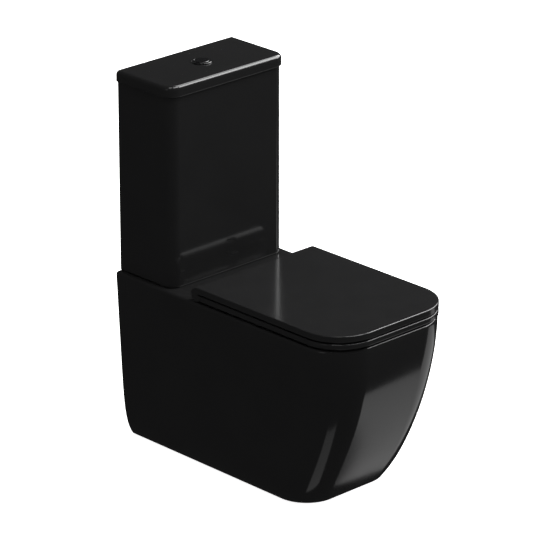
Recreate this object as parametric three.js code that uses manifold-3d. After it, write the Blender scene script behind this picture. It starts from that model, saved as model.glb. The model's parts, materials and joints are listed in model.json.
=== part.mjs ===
// Close coupled toilet: back-to-wall pan, cistern, dual flush valve, fill valve, soft-close seat.
// Millimetres, +Z up, front towards -Y. The wall plane is at y = WALL and the floor is z = 0.
import * as THREE from 'three';
import Module from 'manifold-3d';
import { mergeVertices } from 'three/addons/utils/BufferGeometryUtils.js';

const wasm = await Module();
wasm.setup();

// ---------------------------------------------------------------- driving dimensions
const GAP = 0.4;
const LENGTH = 670;
const WALL = LENGTH / 2;

const RIM_HEIGHT = 390;
const RIM_LENGTH = 668;
const RIM_CORNER = 98;
const FOOT_LENGTH = 538;
const FOOT_CORNER = 73;
const FOOT_HALF_WIDTH = 134.5;
const FOOT_FLARE = 22;
const FOOT_FLARE_HEIGHT = 34;
const PAN_TAPER = 20;
const PAN_WALL = 12;
const DECK_THICKNESS = 14;
const BOWL_FLOOR = 148;
const OUTLET_HEIGHT = 180;
const OUTLET_OUTER = 51;
const OUTLET_INNER = 41;
const FLUSH_DUCT_OUTER = 36;
const FLUSH_DUCT_INNER = 28;
const DOUGHNUT_SEAT_RADIUS = 51;
const DOUGHNUT_SEAT_FLOOR = 362;
const VALVE_BOSS_RADIUS = 64;
const INLET_HOLE_RADIUS = 22;
const BOLT_HOLE_RADIUS = 6.5;

const TANK_HALF_WIDTH = 164;
const TANK_DEPTH = 163;
const TANK_CORNER = 26;
const TANK_WALL = 9;
const TANK_BOTTOM = RIM_HEIGHT + GAP;
const TANK_FLOOR = 403;
const TANK_TOP = 815;
const LID_TOP = 840;
const LID_HALF_WIDTH = 168.5;
const LID_DEPTH = 167;
const LID_CORNER = 30;
const LID_SKIRT = 153.4;
const LID_SKIRT_WALL = 4;
const LID_HOLLOW_TOP = 827;
const BUTTON_HOLE_RADIUS = 19.3;

const VALVE_REACH = 82;
const BOLT_X = 82;
const FILL_X = 118;
const SEAT_BOLT_X = 77.5;

const BUTTON_TOP = 844;
const BUTTON_RADIUS = 16;
const HOUSING_RADIUS = 21.5;
const BUTTON_SPLIT = -4;
const BUTTON_BOTTOM = 828;
const ROD_RADIUS = 2.6;
const ROD_BOTTOM = 702;

const SEAT_HALF_WIDTH = 173;
const SEAT_CORNER = 92;
const RING_BOTTOM = 394;
const RING_TOP = 406.5;
const SEAT_LID_BOTTOM = 410;
const SEAT_LID_TOP = 424;
const AXIS_REACH = 247;
const AXIS_HEIGHT = 408;
const BARREL_RADIUS = SEAT_LID_TOP - AXIS_HEIGHT;
const KNUCKLE_RADIUS = 12;
const PIN_RADIUS = 4;
const DAMPER_RADIUS = 7.5;
const HINGE_HALF_SPAN = 90.5;
const POST_INNER_X = 66;
const POST_OUTER_X = 89.6;
const POST_RADIUS = 9.5;
const LID_RECESS_TOP = 416;

const BRACKET_REACH = 120;
const BRACKET_HALF_WIDTH = 16;
const BRACKET_SCREW_HEIGHT = 28;

// ---------------------------------------------------------------- materials
function finish(color, roughness, metalness = 0) {
  return new THREE.MeshStandardMaterial({ color, roughness, metalness });
}

const glaze = finish(0x0c0c0d, 0.08);
const seatBlack = finish(0x0e0e0f, 0.15);
const buttonBlack = finish(0x17181a, 0.12, 0.3);
const whitePlastic = finish(0xe8e8e4, 0.4);
const greyPlastic = finish(0x8f9498, 0.45);
const blackPlastic = finish(0x1b1b1c, 0.45);
const rubber = finish(0x16161a, 0.8);
const steel = finish(0xb4b6b8, 0.3, 1);
const brass = finish(0xb5964c, 0.35, 1);

// ---------------------------------------------------------------- solids
// y coordinate of a point that stands a given distance out from the wall
function out(reach) {
  return WALL - reach;
}

function solid(geometry) {
  const bare = geometry.clone();
  bare.deleteAttribute('normal');
  bare.deleteAttribute('uv');
  const merged = mergeVertices(bare, 1e-4);
  const triangles = [];
  const index = merged.index.array;
  for (let i = 0; i < index.length; i += 3) {
    const [a, b, c] = [index[i], index[i + 1], index[i + 2]];
    if (a !== b && b !== c && c !== a) triangles.push(a, b, c);
  }
  const vertProperties = new Float32Array(merged.attributes.position.array);
  const triVerts = new Uint32Array(triangles);
  return new wasm.Manifold(new wasm.Mesh({ numProp: 3, vertProperties, triVerts }));
}

function geometryOf(shape) {
  const mesh = shape.getMesh();
  const geometry = new THREE.BufferGeometry();
  geometry.setAttribute('position', new THREE.BufferAttribute(new Float32Array(mesh.vertProperties), 3));
  geometry.setIndex(new THREE.BufferAttribute(new Uint32Array(mesh.triVerts), 1));
  geometry.computeVertexNormals();
  return geometry;
}

function join(...shapes) {
  return shapes.reduce((whole, shape) => whole.add(shape));
}

function cut(base, ...tools) {
  return tools.reduce((rest, tool) => rest.subtract(tool), base);
}

function block(x0, x1, y0, y1, z0, z1) {
  const geometry = new THREE.BoxGeometry(Math.abs(x1 - x0), Math.abs(y1 - y0), Math.abs(z1 - z0));
  return solid(geometry.translate((x0 + x1) / 2, (y0 + y1) / 2, (z0 + z1) / 2));
}

// Turned shape about a vertical axis at (x, y); profile is a list of [radius, z], counterclockwise.
function turned(profile, x = 0, y = 0, sides = 20) {
  const points = profile.map(([radius, z]) => new THREE.Vector2(radius, z));
  const geometry = new THREE.LatheGeometry(points, sides);
  return solid(geometry.rotateX(Math.PI / 2).translate(x, y, 0));
}

function ring(inner, outer, z0, z1, x = 0, y = 0, sides = 20) {
  return turned([[inner, z0], [outer, z0], [outer, z1], [inner, z1], [inner, z0]], x, y, sides);
}

function post(radius, z0, z1, x = 0, y = 0, sides = 16) {
  return turned([[0, z0], [radius, z0], [radius, z1], [0, z1]], x, y, sides);
}

// Round bar along X, between x0 and x1
function crossbar(radius, x0, x1, y, z, sides = 16) {
  const geometry = new THREE.CylinderGeometry(radius, radius, Math.abs(x1 - x0), sides);
  return solid(geometry.rotateZ(Math.PI / 2).translate((x0 + x1) / 2, y, z));
}

// Outline with a straight back and two round front corners, counterclockwise from above
function trayOutline(halfWidth, backReach, frontReach, corner, steps = 6) {
  const points = [];
  for (const [side, start] of [[1, -Math.PI / 2], [-1, Math.PI]]) {
    const arc = [];
    for (let i = 0; i <= steps; i += 1) {
      const angle = start + (Math.PI / 2) * (i / steps);
      const x = side * (halfWidth - corner) + corner * Math.cos(angle);
      const y = out(frontReach - corner) + corner * Math.sin(angle);
      arc.push(new THREE.Vector2(x, y));
    }
    if (side === 1) points.push(...arc, new THREE.Vector2(halfWidth, out(backReach)));
    else points.push(new THREE.Vector2(-halfWidth, out(backReach)), ...arc);
  }
  return points;
}

// Rounded rectangle with all four corners round
function roundOutline(halfWidth, backReach, frontReach, corner, steps = 6) {
  const points = [];
  const corners = [[1, frontReach - corner, -90], [1, backReach + corner, 0],
    [-1, backReach + corner, 90], [-1, frontReach - corner, 180]];
  for (const [side, reach, start] of corners) {
    for (let i = 0; i <= steps; i += 1) {
      const angle = THREE.MathUtils.degToRad(start + 90 * (i / steps));
      const x = side * (halfWidth - corner) + corner * Math.cos(angle);
      points.push(new THREE.Vector2(x, out(reach) + corner * Math.sin(angle)));
    }
  }
  return points;
}

// Closed skin through a stack of outlines with equal point counts, listed from the bottom up
function loft(levels) {
  const count = levels[0].outline.length;
  const positions = levels.flatMap(({ outline, z }) => outline.flatMap((p) => [p.x, p.y, z]));
  const index = [];
  for (let level = 0; level + 1 < levels.length; level += 1) {
    for (let i = 0; i < count; i += 1) {
      const a = level * count + i;
      const b = level * count + ((i + 1) % count);
      index.push(a, b, b + count, a, b + count, a + count);
    }
  }
  const top = (levels.length - 1) * count;
  for (const [a, b, c] of THREE.ShapeUtils.triangulateShape(levels[0].outline, [])) index.push(a, c, b);
  for (const [a, b, c] of THREE.ShapeUtils.triangulateShape(levels.at(-1).outline, [])) {
    index.push(top + a, top + b, top + c);
  }
  const geometry = new THREE.BufferGeometry();
  geometry.setAttribute('position', new THREE.BufferAttribute(new Float32Array(positions), 3));
  geometry.setIndex(index);
  return solid(geometry);
}

function slab(outline, z0, z1) {
  return loft([{ outline, z: z0 }, { outline, z: z1 }]);
}

// Round duct in the plane x = 0; route is a list of [distance from the wall, height]
function duct(route, radius, steps) {
  const section = new THREE.Shape(new THREE.EllipseCurve(0, 0, radius, radius).getPoints(14).slice(0, -1));
  const path = new THREE.CatmullRomCurve3(route.map(([reach, z]) => new THREE.Vector3(0, out(reach), z)));
  return solid(new THREE.ExtrudeGeometry(section, { steps, extrudePath: path }));
}

const valveY = out(VALVE_REACH);
const axisY = out(AXIS_REACH);

const toilet = new THREE.Group();
toilet.name = 'close_coupled_toilet';

function add(name, shape, material) {
  const mesh = new THREE.Mesh(geometryOf(shape), material);
  mesh.name = name;
  toilet.add(mesh);
}

// ---------------------------------------------------------------- pan
function panHalfWidth(z) {
  return FOOT_HALF_WIDTH + FOOT_FLARE * (1 - Math.exp(-z / FOOT_FLARE_HEIGHT)) + PAN_TAPER * (z / RIM_HEIGHT);
}

function panFront(z) {
  return FOOT_LENGTH + (RIM_LENGTH - FOOT_LENGTH) * (1 - (1 - z / RIM_HEIGHT) ** 1.8);
}

function panCorner(z) {
  return FOOT_CORNER + (RIM_CORNER - FOOT_CORNER) * (z / RIM_HEIGHT);
}

function panLevel(z, inset, backReach) {
  return {
    outline: trayOutline(panHalfWidth(z) - inset, backReach, panFront(z) - inset, panCorner(z) - inset),
    z,
  };
}

function panForm() {
  const heights = [0, 7, 18, 36, 62, 98, 140, 186, 236, 290, 344, 384];
  const levels = heights.map((z) => panLevel(z, 0, 0));
  levels.push({ ...panLevel(384, 1.8, 0), z: 388.2 }, { ...panLevel(384, 6, 0), z: RIM_HEIGHT });
  return loft(levels);
}

function panHollow() {
  const heights = [0, 18, 36, 98, 186, 290, RIM_HEIGHT - DECK_THICKNESS];
  const levels = heights.map((z) => panLevel(z, PAN_WALL, -5));
  levels.unshift({ ...levels[0], z: -1 });
  return loft(levels);
}

// Inside of the bowl: a wide rounded opening that narrows back and down to the sump
function bowlForm(grow, topHeight) {
  const levels = [];
  for (const depth of [1, 0.94, 0.82, 0.66, 0.5, 0.34, 0.2, 0.08, 0]) {
    const narrowing = depth ** 1.9;
    const halfWidth = THREE.MathUtils.lerp(124, 42, narrowing) + grow;
    const back = THREE.MathUtils.lerp(300, 322, narrowing) - grow;
    const front = THREE.MathUtils.lerp(630, 410, narrowing) + grow;
    const corner = THREE.MathUtils.lerp(92, 41, narrowing) + grow;
    const z = THREE.MathUtils.lerp(RIM_HEIGHT, BOWL_FLOOR - grow, depth);
    levels.push({ outline: roundOutline(halfWidth, back, front, corner), z });
  }
  levels.at(-1).z = topHeight;
  return loft(levels);
}

const trapRoute = [[365, 170], [352, 128], [312, 101], [266, 128], [238, 190], [204, 231], [164, 228],
  [134, 198], [104, 182], [66, OUTLET_HEIGHT], [20, OUTLET_HEIGHT]];
const boreRoute = [...trapRoute.slice(0, -1), [5, OUTLET_HEIGHT]];
const flushRoute = [[VALVE_REACH, 364], [84, 346], [108, 336], [150, 336], [220, 338], [318, 338]];

function pan() {
  const form = panForm();
  const valveBoss = post(VALVE_BOSS_RADIUS, 350, RIM_HEIGHT - 1, 0, valveY, 28);
  const waterways = join(
    bowlForm(10, RIM_HEIGHT - 1),
    duct(trapRoute, OUTLET_OUTER, 20),
    duct(flushRoute, FLUSH_DUCT_OUTER, 9),
  );
  const shell = join(cut(form, panHollow()), waterways.intersect(form), valveBoss);
  const [lugBack, lugFront] = [out(BRACKET_REACH - 14), out(BRACKET_REACH + 14)];
  const lugs = [-1, 1].map((side) => block(side * 121.5, side * 142, lugBack, lugFront, 14, 42));
  const holes = [
    bowlForm(0, RIM_HEIGHT + 1),
    duct(boreRoute, OUTLET_INNER, 20),
    duct(flushRoute, FLUSH_DUCT_INNER, 9),
    post(DOUGHNUT_SEAT_RADIUS, DOUGHNUT_SEAT_FLOOR, RIM_HEIGHT + 1, 0, valveY, 28),
    post(INLET_HOLE_RADIUS, RIM_HEIGHT - 30, RIM_HEIGHT + 1, FILL_X, valveY),
  ];
  for (const side of [-1, 1]) {
    holes.push(post(BOLT_HOLE_RADIUS, RIM_HEIGHT - 30, RIM_HEIGHT + 1, side * BOLT_X, valveY));
    holes.push(post(BOLT_HOLE_RADIUS, RIM_HEIGHT - 30, RIM_HEIGHT + 1, side * SEAT_BOLT_X, axisY));
    holes.push(crossbar(3.4, side * 121, side * 137, out(BRACKET_REACH), BRACKET_SCREW_HEIGHT, 12));
  }
  return cut(join(shell, ...lugs), ...holes);
}

add('pan', pan(), glaze);

// ---------------------------------------------------------------- cistern and its lid
function cistern() {
  const outer = slab(trayOutline(TANK_HALF_WIDTH, 0, TANK_DEPTH, TANK_CORNER), TANK_BOTTOM, TANK_TOP);
  const inner = trayOutline(
    TANK_HALF_WIDTH - TANK_WALL,
    TANK_WALL,
    TANK_DEPTH - TANK_WALL,
    TANK_CORNER - TANK_WALL,
  );
  const [below, above] = [TANK_BOTTOM - 10, TANK_FLOOR + 7];
  const holes = [post(31, below, above, 0, valveY, 24), post(11.5, below, above, FILL_X, valveY)];
  for (const side of [-1, 1]) holes.push(post(BOLT_HOLE_RADIUS, below, above, side * BOLT_X, valveY));
  return cut(outer, slab(inner, TANK_FLOOR, TANK_TOP + 1), ...holes);
}

add('cistern', cistern(), glaze);

function cisternLid() {
  const bottom = TANK_TOP + GAP;
  const profile = [[1.5, bottom], [0, bottom + 1.5], [0, 831], [1.2, 835.4], [4.2, 838.6], [9, LID_TOP]];
  const levels = profile.map(([inset, z]) => ({
    outline: trayOutline(LID_HALF_WIDTH - inset, 0, LID_DEPTH - inset, LID_CORNER - inset),
    z,
  }));
  const skirt = (inset) => trayOutline(LID_SKIRT - inset, 10.6 + inset, LID_SKIRT - 1 - inset, 15.4 - inset);
  const skirtOuter = slab(skirt(0), TANK_TOP - 7, TANK_TOP + 5);
  const hollow = slab(skirt(LID_SKIRT_WALL), TANK_TOP - 8, LID_HOLLOW_TOP);
  const buttonHole = post(BUTTON_HOLE_RADIUS, TANK_TOP + 5, LID_TOP + 1, 0, valveY, 28);
  return cut(join(loft(levels), skirtOuter), hollow, buttonHole);
}

add('cistern_lid', cisternLid(), glaze);

// ---------------------------------------------------------------- dual flush button
function buttonHousing() {
  const flangeBottom = LID_TOP + GAP;
  return turned([[16.5, 806], [18.8, 806], [18.8, flangeBottom], [HOUSING_RADIUS, flangeBottom],
    [HOUSING_RADIUS, 841.4], [20.6, 842.4], [17.6, 842.8], [16.5, 842.2], [16.5, 806]], 0, valveY, 36);
}

// One part of the split disc: keep is +1 for the side of larger x
function buttonCap(keep) {
  const underside = [[0, BUTTON_BOTTOM], [BUTTON_RADIUS, BUTTON_BOTTOM]];
  const dome = [[BUTTON_RADIUS, 842.6], [14.6, 843.5], [9, BUTTON_TOP], [0, BUTTON_TOP]];
  const disc = turned([...underside, ...dome], 0, valveY, 36);
  const edge = BUTTON_SPLIT + keep * GAP;
  const keepBox = block(edge, keep * 30, valveY - 30, valveY + 30, BUTTON_BOTTOM - 8, BUTTON_TOP + 6);
  return disc.intersect(keepBox);
}

add('button_housing', buttonHousing(), buttonBlack);
add('button_nut', ring(19.3, 27, 817, LID_HOLLOW_TOP - GAP, 0, valveY, 36), whitePlastic);
add('full_flush_button', buttonCap(1), buttonBlack);
add('half_flush_button', buttonCap(-1), buttonBlack);
add('full_flush_rod', post(ROD_RADIUS, ROD_BOTTOM, BUTTON_BOTTOM - GAP, 6, valveY, 10), whitePlastic);
add('half_flush_rod', post(ROD_RADIUS, ROD_BOTTOM, BUTTON_BOTTOM - GAP, -10, valveY, 10), greyPlastic);

// ---------------------------------------------------------------- flush valve
function flushValveBase() {
  const tail = [[23, 366], [29, 366], [29, 406.3]];
  const seat = [[40, 406.3], [40, 411], [23, 411], [23, 366]];
  const seatAndTail = turned([...tail, ...seat], 0, valveY, 24);
  const parts = [seatAndTail, ring(29.5, 35, 500, 508, 0, valveY, 24)];
  for (const [x, y] of [[32, 0], [-32, 0], [0, 32], [0, -32]]) {
    parts.push(block(x - 2.2, x + 2.2, valveY + y - 2.2, valveY + y + 2.2, 410, 501));
  }
  return join(...parts);
}

function flushPiston() {
  return turned([[10, 414.2], [27, 414.2], [27, 419], [13, 421], [13, 655], [10, 655], [10, 414.2]],
    0, valveY, 20);
}

function flushValveCap() {
  const disc = ring(15, 36, 680.4, 688, 0, valveY, 24);
  const fullPad = block(2, 12, valveY - 7, valveY + 7, 688.4, 696);
  const halfPad = block(-16, -6, valveY - 7, valveY + 7, 688.4, 696);
  const bridge = block(-20, 20, valveY - 7, valveY + 7, 682, 690);
  return join(disc, bridge, fullPad, halfPad);
}

add('flush_valve_base', flushValveBase(), whitePlastic);
add('flush_valve_seal', ring(29.4, 42, TANK_FLOOR + GAP, 405.9, 0, valveY, 24), rubber);
add('flush_valve_backnut', ring(29.4, 42, 377, TANK_BOTTOM - GAP, 0, valveY, 24), whitePlastic);
add('flush_valve_tower', ring(30, 34, 508.4, 680, 0, valveY, 24), greyPlastic);
add('flush_valve_cap', flushValveCap(), whitePlastic);
add('flush_piston', flushPiston(), greyPlastic);
add('flush_piston_seal', ring(14, 28, 411.4, 413.8, 0, valveY, 24), rubber);
add('doughnut_gasket', ring(43, 50.4, DOUGHNUT_SEAT_FLOOR + GAP, TANK_BOTTOM - GAP, 0, valveY, 28), rubber);

// ---------------------------------------------------------------- fill valve
function fillValveBody() {
  return turned([[5.5, 352], [10, 352], [10, 405.8], [18, 405.8], [18, 409], [11, 411], [11, 640], [5.5, 640],
    [5.5, 352]], FILL_X, valveY, 16);
}

function floatCup() {
  const cup = ring(13, 27, 560, 606, FILL_X, valveY, 20);
  const pocket = ring(15.5, 24.5, 559, 600, FILL_X, valveY, 20);
  return join(cut(cup, pocket), post(2.2, 600, 671.4, FILL_X - 24, valveY, 10));
}

function fillValveHead() {
  const head = turned([[0, 640.4], [19, 640.4], [19, 666], [15, 670], [0, 670]], FILL_X, valveY, 18);
  const linkSlot = block(FILL_X - 30, FILL_X - 16, valveY - 6, valveY + 6, 638, 672);
  const cheeks = [-1, 1].map((side) => {
    const [near, far] = [valveY + side * 5, valveY + side * 8];
    return block(FILL_X + 3, FILL_X + 13, near, far, 665, 679);
  });
  return join(cut(head, linkSlot), ...cheeks);
}

add('fill_valve_body', fillValveBody(), whitePlastic);
add('fill_valve_head', fillValveHead(), whitePlastic);
add('fill_valve_seal', ring(10.4, 20, TANK_FLOOR + GAP, 405.4, FILL_X, valveY), rubber);
add('fill_valve_backnut', ring(10.4, 17.5, 378, TANK_BOTTOM - GAP, FILL_X, valveY, 16), whitePlastic);
add('float_cup', floatCup(), greyPlastic);
add('float_lever', block(FILL_X - 30, FILL_X + 13, valveY - 4, valveY + 4, 672.6, 677.4), blackPlastic);

// ---------------------------------------------------------------- fasteners between pan and cistern
function wingNut(x) {
  const hub = ring(5.4, 11, 361, 375.6, x, valveY, 12);
  const wings = block(x - 3, x + 3, valveY - 22, valveY + 22, 363, 372);
  return cut(join(hub, wings), post(5.4, 350, 380, x, valveY, 12));
}

for (const [side, label] of [[-1, 'left'], [1, 'right']]) {
  const x = side * BOLT_X;
  add(`coupling_washer_${label}`, ring(5.4, 15, TANK_FLOOR + GAP, 406.6, x, valveY), rubber);
  const bolt = turned([[0, 342], [5, 342], [5, 407], [10.5, 407], [10.5, 412], [0, 413]], x, valveY, 12);
  add(`coupling_bolt_${label}`, bolt, brass);
  add(`coupling_wing_nut_${label}`, wingNut(x), brass);
}

// ---------------------------------------------------------------- seat ring and seat lid
function bevelledPlate(backReach, z0, z1, soften) {
  const profile = [[soften, z0], [0, z0 + soften], [0, z1 - soften], [soften, z1]];
  return loft(profile.map(([inset, z]) => ({
    outline: trayOutline(SEAT_HALF_WIDTH - inset, backReach, LENGTH - inset, SEAT_CORNER - inset, 8),
    z,
  })));
}

function seatRing() {
  const plate = bevelledPlate(AXIS_REACH, RING_BOTTOM, RING_TOP, 2.5);
  const hole = slab(roundOutline(112, 340, 612, 98, 8), RING_BOTTOM - 1, RING_TOP + 1);
  const barrelRoom = crossbar(BARREL_RADIUS + 0.9, -180, 180, axisY, AXIS_HEIGHT, 32);
  const knuckles = [-1, 1].flatMap((side) => [
    crossbar(KNUCKLE_RADIUS, side * 20, side * 65, axisY, AXIS_HEIGHT, 24),
    block(side * 20, side * 65, axisY, axisY - 22, 398, RING_TOP),
  ]);
  const damperBore = crossbar(DAMPER_RADIUS + GAP, -19, -60, axisY, AXIS_HEIGHT);
  const shaftBore = crossbar(PIN_RADIUS + GAP, -55, -66, axisY, AXIS_HEIGHT);
  const pinBore = crossbar(PIN_RADIUS + GAP, 40, 66, axisY, AXIS_HEIGHT);
  return cut(join(cut(plate, hole, barrelRoom), ...knuckles), damperBore, shaftBore, pinBore);
}

function seatLid() {
  const plate = bevelledPlate(AXIS_REACH, SEAT_LID_BOTTOM, SEAT_LID_TOP, 1.6);
  const recess = slab(trayOutline(161, 285, 658, 80, 8), SEAT_LID_BOTTOM - 1, LID_RECESS_TOP);
  const barrel = crossbar(BARREL_RADIUS, -SEAT_HALF_WIDTH, SEAT_HALF_WIDTH, axisY, AXIS_HEIGHT, 32);
  const [left, right] = [-HINGE_HALF_SPAN, HINGE_HALF_SPAN];
  const core = crossbar(KNUCKLE_RADIUS + 0.9, left, right, axisY, AXIS_HEIGHT, 24);
  const belowSkirt = block(left, right, axisY - 20, axisY + 20, RIM_HEIGHT - 2, AXIS_HEIGHT - 4);
  const frontOfHinge = block(left, right, axisY - 20, axisY, RIM_HEIGHT - 2, SEAT_LID_BOTTOM);
  const postNotches = [-1, 1].map((side) => {
    const inner = side * (POST_INNER_X - 2);
    return block(inner, side * HINGE_HALF_SPAN, axisY + 6, axisY + 20, RIM_HEIGHT - 2, SEAT_LID_TOP + 6);
  });
  const pinBore = crossbar(PIN_RADIUS + GAP, -90, -122, axisY, AXIS_HEIGHT);
  const damperBore = crossbar(DAMPER_RADIUS + GAP, 90, 152, axisY, AXIS_HEIGHT);
  const spaces = [core, belowSkirt, frontOfHinge, ...postNotches, pinBore, damperBore];
  return cut(join(cut(plate, recess), barrel), ...spaces);
}

add('seat_ring', seatRing(), seatBlack);
add('seat_lid', seatLid(), seatBlack);

// ---------------------------------------------------------------- seat hinges and buffers
function hingePost(side) {
  const [inner, outer] = [side * POST_INNER_X, side * POST_OUTER_X];
  const head = crossbar(POST_RADIUS, inner, outer, axisY, AXIS_HEIGHT, 20);
  const leg = block(inner, outer, axisY - POST_RADIUS, axisY + POST_RADIUS, RING_BOTTOM + GAP, AXIS_HEIGHT);
  const stud = post(4, 346, 396, side * SEAT_BOLT_X, axisY, 12);
  return cut(join(head, leg, stud), crossbar(PIN_RADIUS + GAP, side * 65, side * 91, axisY, AXIS_HEIGHT));
}

function hingeBase(side) {
  const [inner, outer] = [side * POST_INNER_X, side * POST_OUTER_X];
  const plate = block(inner, outer, axisY - 20, axisY + 20, RIM_HEIGHT + GAP, 393.4);
  return cut(plate, post(4.4, 385, 400, side * SEAT_BOLT_X, axisY, 12));
}

for (const [side, label] of [[-1, 'left'], [1, 'right']]) {
  const x = side * SEAT_BOLT_X;
  add(`hinge_post_${label}`, hingePost(side), blackPlastic);
  add(`hinge_base_${label}`, hingeBase(side), blackPlastic);
  const washer = ring(4.4, 14, 372, RIM_HEIGHT - DECK_THICKNESS - GAP, x, axisY, 16);
  add(`hinge_washer_${label}`, washer, rubber);
  const nut = cut(post(12, 360, 371.6, x, axisY, 6), post(4.4, 355, 375, x, axisY, 12));
  add(`hinge_nut_${label}`, nut, whitePlastic);
}

function damper(shaftEnd, shoulder, bodyEnd) {
  const body = crossbar(DAMPER_RADIUS, shoulder, bodyEnd, axisY, AXIS_HEIGHT);
  const insideBody = shoulder + Math.sign(bodyEnd - shoulder);
  const shaft = crossbar(PIN_RADIUS, shaftEnd, insideBody, axisY, AXIS_HEIGHT, 6);
  return join(body, shaft);
}

add('hinge_pin_left', crossbar(PIN_RADIUS, -66.4, -120, axisY, AXIS_HEIGHT), steel);
add('hinge_pin_right', crossbar(PIN_RADIUS, 42, 89.4, axisY, AXIS_HEIGHT), steel);
add('seat_damper', damper(-65.6, -58, -21), blackPlastic);
add('lid_damper', damper(90.2, 96, 150), blackPlastic);

const bufferPlaces = [['rear_left', -148, 300], ['rear_right', 148, 300], ['front_left', -143, 566],
  ['front_right', 143, 566]];
for (const [label, x, reach] of bufferPlaces) {
  add(`seat_buffer_${label}`, post(7, RIM_HEIGHT + GAP, RING_BOTTOM - GAP, x, out(reach), 12), rubber);
  add(`lid_buffer_${label}`, post(6, RING_TOP + GAP, LID_RECESS_TOP - GAP, x, out(reach), 12), rubber);
}

// ---------------------------------------------------------------- floor fixings inside the pan
function floorBracket(side) {
  const middle = out(BRACKET_REACH);
  const [front, back] = [middle - BRACKET_HALF_WIDTH, middle + BRACKET_HALF_WIDTH];
  const foot = block(side * 76, side * 121, front, back, 0, 3);
  const upright = block(side * 118, side * 121, front, back, 0, 44);
  const floorHole = post(4.5, -1, 5, side * 96, middle, 12);
  const screwHole = crossbar(3.5, side * 116, side * 123, middle, BRACKET_SCREW_HEIGHT, 12);
  return cut(join(foot, upright), floorHole, screwHole);
}

for (const [side, label] of [[-1, 'left'], [1, 'right']]) {
  add(`floor_bracket_${label}`, floorBracket(side), steel);
  const head = crossbar(6.5, side * 113, side * 117.6, out(BRACKET_REACH), BRACKET_SCREW_HEIGHT, 6);
  const shank = crossbar(3, side * 117, side * 136, out(BRACKET_REACH), BRACKET_SCREW_HEIGHT, 12);
  add(`bracket_screw_${label}`, join(head, shank), steel);
}

export default toilet;
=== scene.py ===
"""Close coupled toilet in black glaze: fine surfaces, materials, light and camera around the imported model."""
import json
import math

import bpy
from mathutils import Matrix, Vector


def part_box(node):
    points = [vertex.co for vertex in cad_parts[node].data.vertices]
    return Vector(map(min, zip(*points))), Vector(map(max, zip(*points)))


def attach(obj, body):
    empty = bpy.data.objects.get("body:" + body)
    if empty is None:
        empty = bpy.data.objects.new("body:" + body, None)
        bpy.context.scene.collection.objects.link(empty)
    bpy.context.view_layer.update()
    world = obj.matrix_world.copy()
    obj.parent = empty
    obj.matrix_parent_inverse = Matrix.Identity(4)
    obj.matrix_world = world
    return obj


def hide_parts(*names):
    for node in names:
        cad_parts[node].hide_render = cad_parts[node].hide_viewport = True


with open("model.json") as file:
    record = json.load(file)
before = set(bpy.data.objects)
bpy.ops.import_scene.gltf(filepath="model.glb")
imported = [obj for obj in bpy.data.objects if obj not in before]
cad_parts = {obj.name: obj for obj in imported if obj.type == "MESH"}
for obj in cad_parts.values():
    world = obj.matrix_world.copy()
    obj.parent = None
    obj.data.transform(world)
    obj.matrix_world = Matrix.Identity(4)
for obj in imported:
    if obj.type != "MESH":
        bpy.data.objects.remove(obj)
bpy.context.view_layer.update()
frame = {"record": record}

# ---- sizes, in metres
MM = 0.001
TAU = 2 * math.pi


def low(node):
    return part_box(node)[0]


def high(node):
    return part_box(node)[1]


WALL = high("pan")[1]
RIM = high("pan")[2]
VALVE_Y = (low("button_housing")[1] + high("button_housing")[1]) / 2
AXIS_Y = (low("hinge_pin_left")[1] + high("hinge_pin_left")[1]) / 2
AXIS_Z = (low("hinge_pin_left")[2] + high("hinge_pin_left")[2]) / 2
SEAT_BOLT_X = (low("hinge_nut_right")[0] + high("hinge_nut_right")[0]) / 2
BOLT_X = (low("coupling_bolt_right")[0] + high("coupling_bolt_right")[0]) / 2
FILL_X = (low("fill_valve_body")[0] + high("fill_valve_body")[0]) / 2
BARREL_RADIUS = high("seat_lid")[2] - AXIS_Z
DECK = 14 * MM
PAN_WALL = 12 * MM
RIM_LENGTH = WALL - low("pan")[1]
FOOT_LENGTH = 538 * MM
FOOT_HALF_WIDTH = 134.5 * MM
FOOT_FLARE = 22 * MM
FOOT_FLARE_HEIGHT = 34 * MM
PAN_TAPER = high("pan")[0] - FOOT_HALF_WIDTH - FOOT_FLARE
BOWL_FLOOR = 148 * MM
TANK_WALL = 9 * MM
CORNER_STEPS = 20
GAP = 0.4 * MM
BEYOND = 0.18
HINGE_HOLE = 4.4 * MM
DAMPER_HOLE = 7.9 * MM
BOLT_HOLE = 6.5 * MM
BUTTON_HOLE = 19.3 * MM
BELOW_DECK = RIM - 30 * MM
DOUGHNUT_RADIUS, DOUGHNUT_FLOOR = 51 * MM, 362 * MM
TRAP_OUTER, TRAP_INNER = 51 * MM, 41 * MM
FLUSH_OUTER, FLUSH_INNER = 36 * MM, 28 * MM
BRACKET_REACH, SCREW_HEIGHT = 120 * MM, 28 * MM
HINGE_HALF = 90.5 * MM
HINGE_LOW = 388 * MM


def lerp(a, b, t):
    return a + (b - a) * t


def out(reach):
    """The y of a point a given distance out from the wall."""
    return WALL - reach


# ---- mesh building
def mesh_object(vertices, faces):
    mesh = bpy.data.meshes.new("shape")
    mesh.from_pydata([tuple(v) for v in vertices], [], faces)
    mesh.validate()
    mesh.update()
    obj = bpy.data.objects.new("shape", mesh)
    bpy.context.scene.collection.objects.link(obj)
    return obj


def arc(cx, cy, radius, start, end, steps):
    """Points of a circular arc from start to end, in degrees."""
    points = []
    for i in range(steps + 1):
        a = math.radians(lerp(start, end, i / steps))
        points.append((cx + radius * math.cos(a), cy + radius * math.sin(a)))
    return points


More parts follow.
